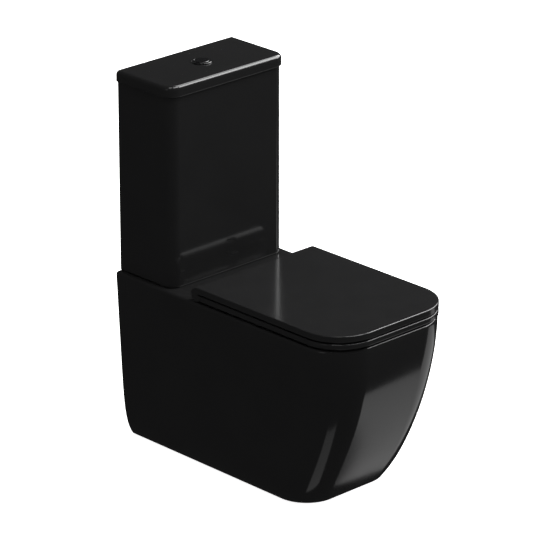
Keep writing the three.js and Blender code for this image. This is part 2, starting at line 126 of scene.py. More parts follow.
def tray_outline(half, back, front, corner, back_corner=0.0, steps=CORNER_STEPS):
    """Counterclockwise outline with round front corners; back and front are distances from the wall."""
    small = max(back_corner, 0.02 * MM)
    points = arc(half - corner, out(front - corner), corner, -90, 0, steps)
    points += arc(half - small, out(back + small), small, 0, 90, 4)
    points += arc(-half + small, out(back + small), small, 90, 180, 4)
    points += arc(-half + corner, out(front - corner), corner, 180, 270, steps)
    return points


def round_outline(half, back, front, corner, steps=CORNER_STEPS):
    """Counterclockwise rounded rectangle."""
    points = arc(half - corner, out(front - corner), corner, -90, 0, steps)
    points += arc(half - corner, out(back + corner), corner, 0, 90, steps)
    points += arc(-half + corner, out(back + corner), corner, 90, 180, steps)
    points += arc(-half + corner, out(front - corner), corner, 180, 270, steps)
    return points


def rounded_edges(z0, z1, low_edge, high_edge, steps):
    """(inset, z, radius) up a side whose lower and upper edges are rounded."""
    for centre, radius, start in ((z0 + low_edge, low_edge, -90), (z1 - high_edge, high_edge, 0)):
        for x, z in arc(0, centre, radius, start, start + 90, steps):
            yield radius - x, z, radius


def loft(levels):
    """Closed skin through (outline, z) levels with equal point counts, from the bottom up."""
    count = len(levels[0][0])
    vertices = [(x, y, z) for outline, z in levels for x, y in outline]
    faces = [tuple(reversed(range(count)))]
    for level in range(len(levels) - 1):
        for i in range(count):
            a = level * count + i
            b = level * count + (i + 1) % count
            faces.append((a, b, b + count, a + count))
    top = (len(levels) - 1) * count
    faces.append(tuple(range(top, top + count)))
    return mesh_object(vertices, faces)


def lathe(profile, x=0.0, y=0.0, segments=64, axis="Z", z=0.0):
    """Turned closed solid; profile is a counterclockwise list of (radius, height), open only at the axis."""
    vertices, faces = [], []
    on_axis = [radius < 1e-7 for radius, _ in profile]
    closed = not (on_axis[0] and on_axis[-1])
    rows = []
    for (radius, height), pole in zip(profile, on_axis):
        rows.append(len(vertices))
        steps = 1 if pole else segments
        for i in range(steps):
            a = TAU * i / segments
            vertices.append(Vector((radius * math.cos(a), radius * math.sin(a), height)))
    pairs = list(zip(range(len(profile)), range(1, len(profile))))
    if closed:
        pairs.append((len(profile) - 1, 0))
    for p, q in pairs:
        for i in range(segments):
            j = (i + 1) % segments
            lower = [rows[p]] if on_axis[p] else [rows[p] + i, rows[p] + j]
            upper = [rows[q]] if on_axis[q] else [rows[q] + j, rows[q] + i]
            if len(lower) + len(upper) > 2:
                faces.append(tuple(lower + upper))
    obj = mesh_object(vertices, faces)
    turn = Matrix.Identity(4) if axis == "Z" else Matrix.Rotation(math.pi / 2, 4, "Y")
    obj.data.transform(Matrix.Translation((x, y, z)) @ turn)
    return obj


def ring_profile(inner, outer, z0, z1, soft=0.5 * MM, steps=3):
    """Rectangle section with softened outer edges, for washers, nuts and sleeves."""
    soft = min(soft, (outer - inner) * 0.45, (z1 - z0) * 0.45)
    points = [(inner, z0)]
    points += arc(outer - soft, z0 + soft, soft, -90, 0, steps)
    points += arc(outer - soft, z1 - soft, soft, 0, 90, steps)
    points.append((inner, z1))
    return points


def rod_profile(radius, z0, z1, soft=0.5 * MM, steps=3):
    return [(0, z0)] + ring_profile(0, radius, z0, z1, soft, steps)[1:-1] + [(0, z1)]


def bore(radius, z0, z1, x=0.0, y=VALVE_Y, segments=64):
    """Cutter for a round upright hole."""
    return lathe(rod_profile(radius, z0, z1), x, y, segments)


def block(x0, x1, y0, y1, z0, z1):
    (x0, x1), (y0, y1), (z0, z1) = sorted((x0, x1)), sorted((y0, y1)), sorted((z0, z1))
    return loft([([(x0, y0), (x1, y0), (x1, y1), (x0, y1)], z0),
                 ([(x0, y0), (x1, y0), (x1, y1), (x0, y1)], z1)])


def bar(radius, x0, x1, y=AXIS_Y, z=AXIS_Z, segments=64, soft=0.0):
    """Round bar along X."""
    x0, x1 = sorted((x0, x1))
    return lathe(rod_profile(radius, x0, x1, max(soft, 0.01 * MM)), 0, y, segments, "X", z)


def modify(target, kind, **settings):
    modifier = target.modifiers.new(kind, kind)
    for key, value in settings.items():
        setattr(modifier, key, value)
    graph = bpy.context.evaluated_depsgraph_get()
    changed = bpy.data.meshes.new_from_object(target.evaluated_get(graph), depsgraph=graph)
    target.modifiers.clear()
    old = target.data
    target.data = changed
    bpy.data.meshes.remove(old)
    return target


def combine(target, tools, operation):
    for tool in tools:
        modify(target, "BOOLEAN", operation=operation, object=tool, solver="EXACT")
        bpy.data.objects.remove(tool)
    return target


def cut(target, *tools):
    return combine(target, tools, "DIFFERENCE")


def join(target, *tools):
    return combine(target, tools, "UNION")


def shade(target, angle=32):
    """Smooth shading that keeps edges sharper than the angle, with flat faces kept flat."""
    mesh = target.data
    mesh.shade_smooth()
    mesh.set_sharp_from_angle(angle=math.radians(angle))
    return modify(target, "WEIGHTED_NORMAL", keep_sharp=True, weight=90)


def catmull_rom(points, steps):
    """Smooth curve through the points, with a number of steps between neighbours."""
    padded = [points[0] * 2 - points[1], *points, points[-1] * 2 - points[-2]]
    curve = []
    for p0, p1, p2, p3 in zip(padded, padded[1:], padded[2:], padded[3:]):
        for i in range(steps):
            t = i / steps
            curve.append(0.5 * (2 * p1 + (p2 - p0) * t + (2 * p0 - 5 * p1 + 4 * p2 - p3) * t * t
                                + (3 * p1 - p0 - 3 * p2 + p3) * t ** 3))
    return curve + [points[-1]]


def duct(route, radius, sides=48, steps=6):
    """Round duct in the plane x = 0 along (distance from the wall, height) points, in millimetres."""
    path = catmull_rom([Vector((0, out(reach * MM), z * MM)) for reach, z in route], steps)
    vertices, faces = [], []
    for i, point in enumerate(path):
        along = (path[min(i + 1, len(path) - 1)] - path[max(i - 1, 0)]).normalized()
        side = Vector((1, 0, 0))
        up = side.cross(along)
        for k in range(sides):
            a = TAU * k / sides
            vertices.append(point + side * radius * math.cos(a) + up * radius * math.sin(a))
    for i in range(len(path) - 1):
        for k in range(sides):
            a, b = i * sides + k, i * sides + (k + 1) % sides
            faces.append((a, a + sides, b + sides, b))
    faces.append(tuple(range(sides)))
    last = (len(path) - 1) * sides
    faces.append(tuple(reversed(range(last, last + sides))))
    tube = mesh_object(vertices, faces)
    middle = path[len(path) // 2]
    core = block(-MM, MM, middle.y - MM, middle.y + MM, middle.z - MM, middle.z + MM)
    modify(tube, "BOOLEAN", operation="UNION", object=core, solver="EXACT", use_self=True)
    bpy.data.objects.remove(core)
    return tube


BODY_OF = {node: body for body, members in frame["record"]["behaviour"]["bodies"].items() for node in members}
SLOT_OF = {part["node"]: part["material_slot"] for part in frame["record"]["subparts"]}


def piece(node, obj):
    """Finishes a visible piece: its name, material, body, the node it stands for and its slot."""
    obj.name = node + "_surface"
    obj.data.name = obj.name
    obj.data.materials.clear()
    obj.data.materials.append(MATERIALS[SLOT_OF[node]])
    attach(obj, BODY_OF[node])
    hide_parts(node)
    return obj


def make_each(*makers):
    """Makes the piece that each function is named after."""
    for make in makers:
        piece(make.__name__.removeprefix("make_"), make())


def make_pairs(**makers):
    """Makes the left and right piece of each kind."""
    for side_name in ("left", "right"):
        for kind, make in makers.items():
            node = f"{kind}_{side_name}"
            piece(node, make(node))


# ---- ceramic pan
def pan_outline(z, inset, back=0.0, back_corner=0.0):
    rise = z / RIM
    half = FOOT_HALF_WIDTH + FOOT_FLARE * (1 - math.exp(-z / FOOT_FLARE_HEIGHT)) + PAN_TAPER * rise
    front = lerp(FOOT_LENGTH, RIM_LENGTH, 1 - (1 - rise) ** 1.8)
    corner = lerp(73 * MM, 98 * MM, rise)
    return tray_outline(half - inset, back, front - inset, corner - inset, back_corner)


def pan_form():
    edge, foot = 6 * MM, 2 * MM
    levels = [(pan_outline(0, foot), 0.0)]
    levels += [(pan_outline(z, foot - x), z) for x, z in arc(0, foot, foot, -60, 0, 3)]
    heights = [lerp(foot, RIM - edge, i / 60) for i in range(1, 61)]
    levels += [(pan_outline(z, 0), z) for z in heights]
    levels += [(pan_outline(RIM - edge, edge - x), RIM - edge + z) for x, z in arc(0, 0, edge, 10, 90, 8)]
    return loft(levels)


def pan_hollow():
    heights = [lerp(0, RIM - DECK, i / 24) for i in range(25)]
    levels = [(pan_outline(z, PAN_WALL, -5 * MM), z) for z in heights]
    return loft([(levels[0][0], -MM), *levels])


def bowl_form(grow, top, lip=0.0):
    """Inside of the bowl; lip rounds its upper edge outwards into the flat rim."""
    levels = []
    floor = BOWL_FLOOR - grow
    for i in range(41):
        depth = 1 - i / 40
        narrowing = depth ** 1.9
        z = lerp(RIM, floor, depth)
        spread = grow
        if lip and z > RIM - lip:
            spread += lip - math.sqrt(max(lip ** 2 - (z - RIM + lip) ** 2, 0))
        half = lerp(124, 42, narrowing) * MM + spread
        back = lerp(300, 322, narrowing) * MM - spread
        front = lerp(630, 410, narrowing) * MM + spread
        corner = lerp(92, 41, narrowing) * MM + spread
        levels.append((round_outline(half, back, front, corner), z))
    levels.append((levels[-1][0], top))
    return loft(levels)


TRAP_ROUTE = [(365, 170), (352, 128), (312, 101), (266, 128), (238, 190), (204, 231), (164, 228), (134, 198),
              (104, 182), (66, 180), (20, 180)]
FLUSH_ROUTE = [(82, 364), (84, 346), (108, 336), (150, 336), (220, 338), (318, 338)]


def make_pan():
    boss = lathe(rod_profile(64 * MM, 350 * MM, RIM - MM, 4 * MM), 0, VALVE_Y, 72)
    pan = cut(pan_form(), pan_hollow())
    join(pan, bowl_form(10 * MM, RIM - MM), boss)
    join(pan, duct(TRAP_ROUTE, TRAP_OUTER), duct(FLUSH_ROUTE, FLUSH_OUTER))
    holes = [
        bowl_form(0, RIM + MM, lip=9 * MM),
        duct([*TRAP_ROUTE[:-1], (5, 180)], TRAP_INNER),
        duct(FLUSH_ROUTE, FLUSH_INNER),
        bore(DOUGHNUT_RADIUS, DOUGHNUT_FLOOR, RIM + MM),
        bore(22 * MM, BELOW_DECK, RIM + MM, FILL_X, segments=48),
    ]
    for side in (-1, 1):
        for x, y in ((side * BOLT_X, VALVE_Y), (side * SEAT_BOLT_X, AXIS_Y)):
            holes.append(bore(BOLT_HOLE, BELOW_DECK, RIM + MM, x, y, 32))
        join(pan, block(side * 121.5 * MM, side * 142 * MM, out(106 * MM), out(134 * MM), 14 * MM, 42 * MM))
        holes.append(bar(3.4 * MM, side * 120 * MM, side * 137 * MM, out(BRACKET_REACH), SCREW_HEIGHT, 32))
    return shade(cut(pan, *holes))


# ---- cistern and its lid
TANK_HALF = high("cistern")[0]
TANK_DEPTH = WALL - low("cistern")[1]
TANK_BOTTOM, TANK_TOP = low("cistern")[2], high("cistern")[2]
LID_HALF = high("cistern_lid")[0]
LID_DEPTH = WALL - low("cistern_lid")[1]
LID_TOP = high("cistern_lid")[2]


def edge_levels(half, front, corner, z0, z1, low_edge, high_edge, back_edge=0.0, back=0.0):
    """Levels of a box with a rounded lower and upper edge; the back edge is rounded by its own radius."""
    levels = []
    for inset, z, radius in rounded_edges(z0, z1, low_edge, high_edge, 8):
        rear = back + inset * min(1.0, back_edge / max(radius, 1e-6))
        levels.append((tray_outline(half - inset, rear, front - inset, max(corner - inset, MM), 1.5 * MM), z))
    return levels


def make_cistern():
    shell = loft(edge_levels(TANK_HALF, TANK_DEPTH, 26 * MM, TANK_BOTTOM, TANK_TOP, 4 * MM, 1.5 * MM, MM))
    floor = 403 * MM
    inner = loft(edge_levels(TANK_HALF - TANK_WALL, TANK_DEPTH - TANK_WALL, 17 * MM, floor,
                             TANK_TOP + 9 * MM, 8 * MM, MM, 8 * MM, back=TANK_WALL))
    holes = [bore(31 * MM, TANK_BOTTOM - MM, floor + MM),
             bore(11.5 * MM, TANK_BOTTOM - MM, floor + MM, FILL_X, segments=32)]
    for side in (-1, 1):
        holes.append(bore(BOLT_HOLE, TANK_BOTTOM - MM, floor + MM, side * BOLT_X, segments=32))
    return shade(cut(shell, inner, *holes))


def make_cistern_lid():
    bottom = TANK_TOP + GAP
    lid = loft(edge_levels(LID_HALF, LID_DEPTH, 30 * MM, bottom, LID_TOP, 2 * MM, 9 * MM, 2 * MM))
    rib = loft(edge_levels(153.4 * MM, 152.4 * MM, 15.4 * MM, 808 * MM, 820 * MM, 2 * MM, MM, 2 * MM,
                           back=10.6 * MM))
    hollow = loft(edge_levels(149.4 * MM, 148.4 * MM, 11.4 * MM, 800 * MM, 827 * MM, MM, 5 * MM, 5 * MM,
                              back=14.6 * MM))
    hole = bore(BUTTON_HOLE, 820 * MM, LID_TOP + MM)
    return shade(cut(join(lid, rib), hollow, hole))


# ---- seat ring and seat lid
SEAT_HALF = high("seat_ring")[0]
SEAT_FRONT = WALL - low("seat_ring")[1]
SEAT_CORNER = 92 * MM
RING_BOTTOM = low("seat_ring")[2]
RING_TOP = 406.5 * MM
LID_BOTTOM = 410 * MM
SEAT_LID_TOP = high("seat_lid")[2]
AXIS_REACH = WALL - AXIS_Y
KNUCKLE = 12 * MM
PIN_RADIUS = (high("hinge_pin_left")[2] - low("hinge_pin_left")[2]) / 2


def plate(z0, z1, low_edge, high_edge):
    levels = []
    for inset, z, _ in rounded_edges(z0, z1, low_edge, high_edge, 6):
        outline = tray_outline(SEAT_HALF - inset, AXIS_REACH, SEAT_FRONT - inset, SEAT_CORNER - inset,
                               steps=32)
        levels.append((outline, z))
    return loft(levels)


def seat_hole():
    """Cutter for the hole of the ring, flared at the top and bottom so that the edges come out round."""
    half, back, front, corner = 112 * MM, 340 * MM, 612 * MM, 98 * MM
    levels = []
    for spread, z, _ in rounded_edges(RING_BOTTOM, RING_TOP, 3 * MM, 6 * MM, 8):
        outline = round_outline(half + spread, back - spread, front + spread, corner + spread, steps=32)
        levels.append((outline, z))
    levels.insert(0, (levels[0][0], RING_BOTTOM - MM))
    levels.append((levels[-1][0], RING_TOP + MM))
    return loft(levels)


def make_seat_ring():
    ring = cut(plate(RING_BOTTOM, RING_TOP, 3 * MM, 3.5 * MM), seat_hole(),
               bar(BARREL_RADIUS + 0.5 * MM, -BEYOND, BEYOND, segments=96))
    for side in (-1, 1):
        join(ring, bar(KNUCKLE, side * 20 * MM, side * 65 * MM, soft=MM),
             block(side * 20 * MM, side * 65 * MM, AXIS_Y, AXIS_Y - 22 * MM, 398 * MM, RING_TOP - 0.2 * MM))
    cut(ring, bar(DAMPER_HOLE, -19 * MM, -60 * MM), bar(HINGE_HOLE, -55 * MM, -66 * MM),
        bar(HINGE_HOLE, 40 * MM, 66 * MM))
    return shade(ring)


def make_seat_lid():
    lid = plate(LID_BOTTOM, SEAT_LID_TOP, 1.2 * MM, 2 * MM)
    recess = loft([(tray_outline(161 * MM - s, 285 * MM + s, 658 * MM - s, 80 * MM - s, 12 * MM, 32), z)
                   for s, z in ((0, LID_BOTTOM - MM), (0, 413 * MM), (1 * MM, 415 * MM),
                                (3 * MM, 416 * MM))])
    cut(lid, recess)
    join(lid, bar(BARREL_RADIUS, -SEAT_HALF, SEAT_HALF, segments=96, soft=2 * MM))
    core = bar(KNUCKLE + 0.9 * MM, -HINGE_HALF, HINGE_HALF)
    below = block(-HINGE_HALF, HINGE_HALF, AXIS_Y - 20 * MM, AXIS_Y + 20 * MM, HINGE_LOW, AXIS_Z - 4 * MM)
    front = block(-HINGE_HALF, HINGE_HALF, AXIS_Y - 20 * MM, AXIS_Y, HINGE_LOW, LID_BOTTOM)
    cut(lid, core, below, front)
    for side in (-1, 1):
        cut(lid, block(side * 64 * MM, side * HINGE_HALF, AXIS_Y + 6 * MM, AXIS_Y + 20 * MM, HINGE_LOW,
                       430 * MM))
    slot_z = (RING_TOP + LID_BOTTOM) / 2
    slot_half = (LID_BOTTOM - RING_TOP) / 2
    slot_end = AXIS_Y - 7 * MM
    for side in (-1, 1):
        slot = block(side * HINGE_HALF, side * BEYOND, slot_end, AXIS_Y - 25 * MM, slot_z - slot_half,
                     slot_z + slot_half)
        cut(lid, slot, bar(slot_half, side * HINGE_HALF, side * BEYOND, slot_end, slot_z, 24))
    cut(lid, bar(HINGE_HOLE, -90 * MM, -122 * MM), bar(DAMPER_HOLE, 90 * MM, 152 * MM))
    return shade(lid)


# ---- materials
def set_inputs(node, **values):
    """Sets the inputs of a shader node; an underscore stands for a space in their names."""
    for name, value in values.items():
        node.inputs[name.replace("_", " ")].default_value = value


def principled(name, color, roughness, metallic=0.0, coat=0.0):
    material = bpy.data.materials.new(name)
    material.use_nodes = True
    set_inputs(material.node_tree.nodes["Principled BSDF"], Base_Color=(*color, 1), Roughness=roughness,
               Metallic=metallic, Coat_Weight=coat, Coat_Roughness=0.05)
    return material


def noise_node(material, scale, detail=2.0, stretch=(1, 1, 1)):
    nodes, links = material.node_tree.nodes, material.node_tree.links
    place = nodes.new("ShaderNodeTexCoord")
    mapping = nodes.new("ShaderNodeMapping")
    set_inputs(mapping, Scale=stretch)
    noise = nodes.new("ShaderNodeTexNoise")
    set_inputs(noise, Scale=scale, Detail=detail)
    links.new(place.outputs["Object"], mapping.inputs["Vector"])
    links.new(mapping.outputs["Vector"], noise.inputs["Vector"])
    return noise


def wear(material, noise, smooth, rough):
    """Lets the roughness wander between two values."""
    nodes, links = material.node_tree.nodes, material.node_tree.links
    spread = nodes.new("ShaderNodeMapRange")
    set_inputs(spread, From_Min=0.3, From_Max=0.7, To_Min=smooth, To_Max=rough)
    links.new(noise.outputs["Fac"], spread.inputs["Value"])
    links.new(spread.outputs["Result"], nodes["Principled BSDF"].inputs["Roughness"])


def tint(material, noise, first, second):
    """Lets the base colour wander between two colours."""
    nodes, links = material.node_tree.nodes, material.node_tree.links
    ramp = nodes.new("ShaderNodeValToRGB")
    for stop, position, color in zip(ramp.color_ramp.elements, (0.35, 0.65), (first, second)):
        stop.position = position
        stop.color = (*color, 1)
    links.new(noise.outputs["Fac"], ramp.inputs["Fac"])
    links.new(ramp.outputs["Color"], nodes["Principled BSDF"].inputs["Base Color"])


def bumpy(material, *layers):
    """Stacks fine surface relief; each layer is (noise, strength, height in metres)."""
    nodes, links = material.node_tree.nodes, material.node_tree.links
    previous = None
    for noise, strength, height in layers:
        bump = nodes.new("ShaderNodeBump")
        set_inputs(bump, Strength=strength, Distance=height)
        links.new(noise.outputs["Fac"], bump.inputs["Height"])
        if previous:
            links.new(previous.outputs["Normal"], bump.inputs["Normal"])
        previous = bump
    links.new(previous.outputs["Normal"], nodes["Principled BSDF"].inputs["Normal"])


def make_glaze():
    """Vitreous glaze: near black, very smooth, with the faint long waves of a dipped surface."""
    material = principled("black_glaze", (0.0125, 0.0125, 0.0127), 0.1)
    tint(material, noise_node(material, 7), (0.0120, 0.0120, 0.0122), (0.0130, 0.0130, 0.0132))
    wear(material, noise_node(material, 9), 0.085, 0.115)
    bumpy(material, (noise_node(material, 12), 0.2, 0.00006), (noise_node(material, 240), 0.1, 0.000005))
    return material


def make_seat_plastic():
    """Compression-moulded thermoset: black, polished a little less than the glaze."""
    material = principled("black_thermoset", (0.0132, 0.0132, 0.0134), 0.13)
    tint(material, noise_node(material, 22), (0.0127, 0.0127, 0.0129), (0.0137, 0.0137, 0.0139))
    wear(material, noise_node(material, 18), 0.12, 0.145)
    bumpy(material, (noise_node(material, 620), 0.08, 0.000003))
    return material


def make_button_plastic():
    """Polished black button under a clear lacquer."""
    material = principled("button_black", (0.006, 0.006, 0.0065), 0.2, coat=0.6)
    tint(material, noise_node(material, 60), (0.005, 0.005, 0.0055), (0.0075, 0.0075, 0.008))
    wear(material, noise_node(material, 90), 0.14, 0.22)
    bumpy(material, (noise_node(material, 900), 0.1, 0.000004))
    return material


def make_moulded(name, first, second, roughness):
    """Injection-moulded plastic with a fine spark texture and slight clouding."""
    material = principled(name, first, roughness)
    tint(material, noise_node(material, 35, 4), first, second)
    wear(material, noise_node(material, 80), roughness - 0.06, roughness + 0.06)
    bumpy(material, (noise_node(material, 1400, 3), 0.25, 0.00002))
    return material


def make_rubber():
    material = principled("black_rubber", (0.018, 0.018, 0.019), 0.75)
    tint(material, noise_node(material, 50, 5), (0.014, 0.014, 0.015), (0.026, 0.026, 0.027))
    wear(material, noise_node(material, 120, 3), 0.66, 0.84)
    bumpy(material, (noise_node(material, 900, 4), 0.5, 0.00005))
    return material


def make_metal(name, first, second, roughness, grain):
    """Metal with fine lines along its grain and soft handling marks."""
    material = principled(name, first, roughness, metallic=1.0)
    tint(material, noise_node(material, 30, 4), first, second)
    wear(material, noise_node(material, 160, 5, grain), roughness - 0.08, roughness + 0.1)
    bumpy(material, (noise_node(material, 420, 3, grain), 0.15, 0.00002))
    return material


MATERIALS = {
    "glaze": make_glaze(),
    "seat_plastic": make_seat_plastic(),
    "button_plastic": make_button_plastic(),
    "white_plastic": make_moulded("white_moulded", (0.72, 0.72, 0.69), (0.80, 0.80, 0.78), 0.38),
    "grey_plastic": make_moulded("grey_moulded", (0.24, 0.26, 0.28), (0.31, 0.33, 0.35), 0.42),
    "black_plastic": make_moulded("black_moulded", (0.014, 0.014, 0.014), (0.024, 0.024, 0.025), 0.4),
    "rubber": make_rubber(),
    "steel": make_metal("brushed_steel", (0.52, 0.52, 0.53), (0.64, 0.64, 0.63), 0.28, (0.06, 1, 1)),
    "brass": make_metal("plain_brass", (0.62, 0.44, 0.18), (0.74, 0.56, 0.28), 0.3, (1, 1, 0.1)),
}


# ---- small parts: shared shapes
class Extent:
    """Lowest and highest corner of a CAD node, its middle and its radius about a vertical axis."""

    def __init__(self, node):
        (self.x0, self.y0, self.z0), (self.x1, self.y1, self.z1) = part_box(node)
        self.x = (self.x0 + self.x1) / 2
        self.y = (self.y0 + self.y1) / 2
        self.z = (self.z0 + self.z1) / 2
        self.radius = (self.y1 - self.y0) / 2


def thread(radius, z0, z1, pitch=2 * MM, depth=0.6 * MM):
    """Outer profile of a thread, from z0 up to z1: crests at the radius and roots a depth below."""
    turns = max(1, round((z1 - z0) / pitch))
    points = []
    for i in range(turns):
        start, step = lerp(z0, z1, i / turns), (z1 - z0) / turns
        points += [(radius - depth, start + step * 0.1), (radius, start + step * 0.42),
                   (radius, start + step * 0.58), (radius - depth, start + step * 0.9)]
    return points


def groove(radius, z0, z1, depth, slope):
    """Outer profile of a shallow groove with sloping sides."""
    return [(radius, z0), (radius - depth, z0 + slope), (radius - depth, z1 - slope), (radius, z1)]


def soft_corner(radius, z, soft, start, steps=3):
    """Quarter round at an outer corner; start is -90 for a lower corner and 0 for an upper one."""
    centre = z + soft if start < 0 else z - soft
    return arc(radius - soft, centre, soft, start, start + 90, steps)


def flute(obj, x, y, count, depth, inner):
    """Presses shallow grip flutes into the outside of a turned part."""
    for vertex in obj.data.vertices:
        dx, dy = vertex.co.x - x, vertex.co.y - y
        radius = math.hypot(dx, dy)
        if radius > inner:
            wave = 0.5 - 0.5 * math.cos(count * math.atan2(dy, dx))
            scale = (radius - depth * wave) / radius
            vertex.co.x, vertex.co.y = x + dx * scale, y + dy * scale
    return obj


def soften(obj, width=0.5 * MM, segments=2, angle=35):
    """Small rounds along the sharp edges."""
    return modify(obj, "BEVEL", width=width, segments=segments, limit_method="ANGLE",
                  angle_limit=math.radians(angle), use_clamp_overlap=True)


def seal(node):
    """Rubber ring with a rounded section, and the hole that SEAL_HOLES gives it."""
    e = Extent(node)
    inner = SEAL_HOLES[node.rsplit("_left")[0].rsplit("_right")[0]]
    soft = min(e.radius - inner, e.z1 - e.z0) * 0.42
    profile = [(inner + soft * 0.4, e.z0), *soft_corner(e.radius, e.z0, soft, -90, 5),
               *soft_corner(e.radius, e.z1, soft, 0, 5), (inner + soft * 0.4, e.z1),
               (inner, e.z1 - soft * 0.4), (inner, e.z0 + soft * 0.4)]
    return shade(lathe(profile, e.x, e.y))


SEAL_HOLES = {
    "flush_valve_seal": 29.4 * MM,
    "flush_piston_seal": 14 * MM,
    "doughnut_gasket": 43 * MM,
    "fill_valve_seal": 10.4 * MM,
    "coupling_washer": 5.4 * MM,
    "hinge_washer": HINGE_HOLE,
}


def grip_nut(node, inner, count):
    """Round plastic nut with grip flutes and a threaded hole."""
    e = Extent(node)
    crests = thread(inner + 0.6 * MM, e.z0 + MM, e.z1 - MM)
    hole = [(inner + 0.6 * MM - (radius - inner), z) for radius, z in crests]
    profile = [(inner + MM, e.z0), *soft_corner(e.radius, e.z0, MM, -90), *soft_corner(e.radius, e.z1, MM, 0),
               (inner + MM, e.z1), *reversed(hole)]
    return shade(flute(lathe(profile, e.x, e.y, 160), e.x, e.y, count, 0.9 * MM, inner + 3 * MM))


# ---- dual flush button
SPLIT_X = (high("half_flush_button")[0] + low("full_flush_button")[0]) / 2
BUTTON_TOP = high("full_flush_button")[2]
BUTTON_RADIUS = high("full_flush_button")[0]


def make_button_housing():
    e = Extent("button_housing")
    flange = LID_TOP + GAP
    profile = [(17.2 * MM, e.z0), (18.4 * MM, e.z0), *thread(18.8 * MM, e.z0 + MM, flange - 6 * MM),
               (18.2 * MM, flange), (e.radius - 0.4 * MM, flange), (e.radius, flange + 0.4 * MM)]
    profile += arc(e.radius - 1.3 * MM, e.z1 - 1.5 * MM, 1.3 * MM, 10, 80, 6)
    profile += arc(17.3 * MM, e.z1 - 0.7 * MM, 0.7 * MM, 95, 180, 5)
    profile += [(16.5 * MM, e.z0 + 0.5 * MM)]
    return shade(lathe(profile, e.x, e.y, 128))


def make_button_cap(node, side):
    """Half of the split disc, with a rounded edge and a shallow dish on top."""
    edge = SPLIT_X + side * GAP
    bottom = low(node)[2]
    profile = [(0, bottom), (13 * MM, bottom), (BUTTON_RADIUS, bottom + MM)]
    profile += arc(BUTTON_RADIUS - 1.6 * MM, BUTTON_TOP - 1.6 * MM, 1.6 * MM, 0, 78, 8)
    profile += [(11 * MM, BUTTON_TOP - 0.02 * MM), (7 * MM, BUTTON_TOP - 0.3 * MM),
                (0, BUTTON_TOP - 0.45 * MM)]
    cap = lathe(profile, 0, VALVE_Y, 128)
    cut(cap, block(edge, edge - side * 40 * MM, VALVE_Y - 20 * MM, VALVE_Y + 20 * MM, bottom - MM,
                   BUTTON_TOP + MM))
    return shade(soften(cap, 0.35 * MM, 3, 50))


def make_push_rod(node):
    e = Extent(node)
    radius = (e.x1 - e.x0) / 2
    grooves = [lerp(e.z0, e.z1, t) for t in (0.62, 0.66, 0.70, 0.74, 0.78, 0.82, 0.86, 0.90)]
    profile = [(0, e.z0), *arc(radius - 1.2 * MM, e.z0 + 1.2 * MM, 1.2 * MM, -90, 0, 4)]
    for z in grooves:
        profile += groove(radius, z - 0.9 * MM, z + 0.9 * MM, 0.5 * MM, 0.5 * MM)
    profile += [*arc(radius - 0.6 * MM, e.z1 - 0.6 * MM, 0.6 * MM, 0, 90, 3), (0, e.z1)]
    return shade(lathe(profile, e.x, e.y, 40))


piece("button_housing", make_button_housing())
piece("button_nut", grip_nut("button_nut", BUTTON_HOLE, 24))
piece("full_flush_button", make_button_cap("full_flush_button", 1))
piece("half_flush_button", make_button_cap("half_flush_button", -1))
piece("full_flush_rod", make_push_rod("full_flush_rod"))
piece("half_flush_rod", make_push_rod("half_flush_rod"))


# ---- flush valve
def make_flush_valve_base():
    e = Extent("flush_valve_base")
    flange_low, flange_high = 406.3 * MM, 411 * MM
    inner = 23 * MM
    profile = [(inner, e.z0), (28 * MM, e.z0), *thread(29 * MM, e.z0 + MM, flange_low - MM, 3 * MM, MM),
               (28 * MM, flange_low), *soft_corner(e.radius, flange_low, MM, -90),
               *soft_corner(e.radius, flange_high, MM, 0), (31 * MM, flange_high),
               (26 * MM, flange_high - 0.4 * MM),
               *arc(inner + 1.5 * MM, flange_high - 1.5 * MM, 1.5 * MM, 90, 180, 4)]
    collar = lathe(ring_profile(29.5 * MM, 35 * MM, 500 * MM, e.z1, MM), e.x, e.y, 96)
    body = lathe(profile, e.x, e.y, 96)
    legs = []
    for turn in range(4):
        leg = soften(block(-2.2 * MM, 2.2 * MM, -2.2 * MM, 2.2 * MM, flange_high - MM, 501 * MM), 0.5 * MM)
        angle = TAU * turn / 4
        offset = Vector((32 * MM * math.cos(angle) + e.x, 32 * MM * math.sin(angle) + e.y, 0))
        leg.data.transform(Matrix.Translation(offset))
        legs.append(leg)
    return shade(join(body, collar, *legs))


def make_flush_valve_tower():
    """Guide tube with raised bands and a row of level marks."""
    e = Extent("flush_valve_tower")
    inner, wall = 30 * MM, 33 * MM
    profile = [(inner, e.z0), *soft_corner(e.radius, e.z0, 0.5 * MM, -90)]
    bands = 5
    for i in range(bands):
        z = lerp(e.z0 + 6 * MM, e.z1 - 12 * MM, i / (bands - 1))
        profile += [(e.radius, z), (wall, z + MM)]
        if i < bands - 1:
            upper = lerp(e.z0 + 6 * MM, e.z1 - 12 * MM, (i + 1) / (bands - 1)) - 5 * MM
            profile += [(wall, upper), (e.radius, upper + MM)]
    profile += [(wall, e.z1 - 6 * MM), (e.radius, e.z1 - 5 * MM), *soft_corner(e.radius, e.z1, 0.5 * MM, 0),
                (inner, e.z1)]
    tower = lathe(profile, e.x, e.y, 120)
    marks = [block(e.x - 4 * MM, e.x + 4 * MM, e.y0 + 0.3 * MM, e.y0 + 2 * MM, z, z + 0.8 * MM)
             for z in (lerp(e.z0 + 40 * MM, e.z1 - 40 * MM, i / 8) for i in range(9))]
    return shade(cut(tower, *marks))


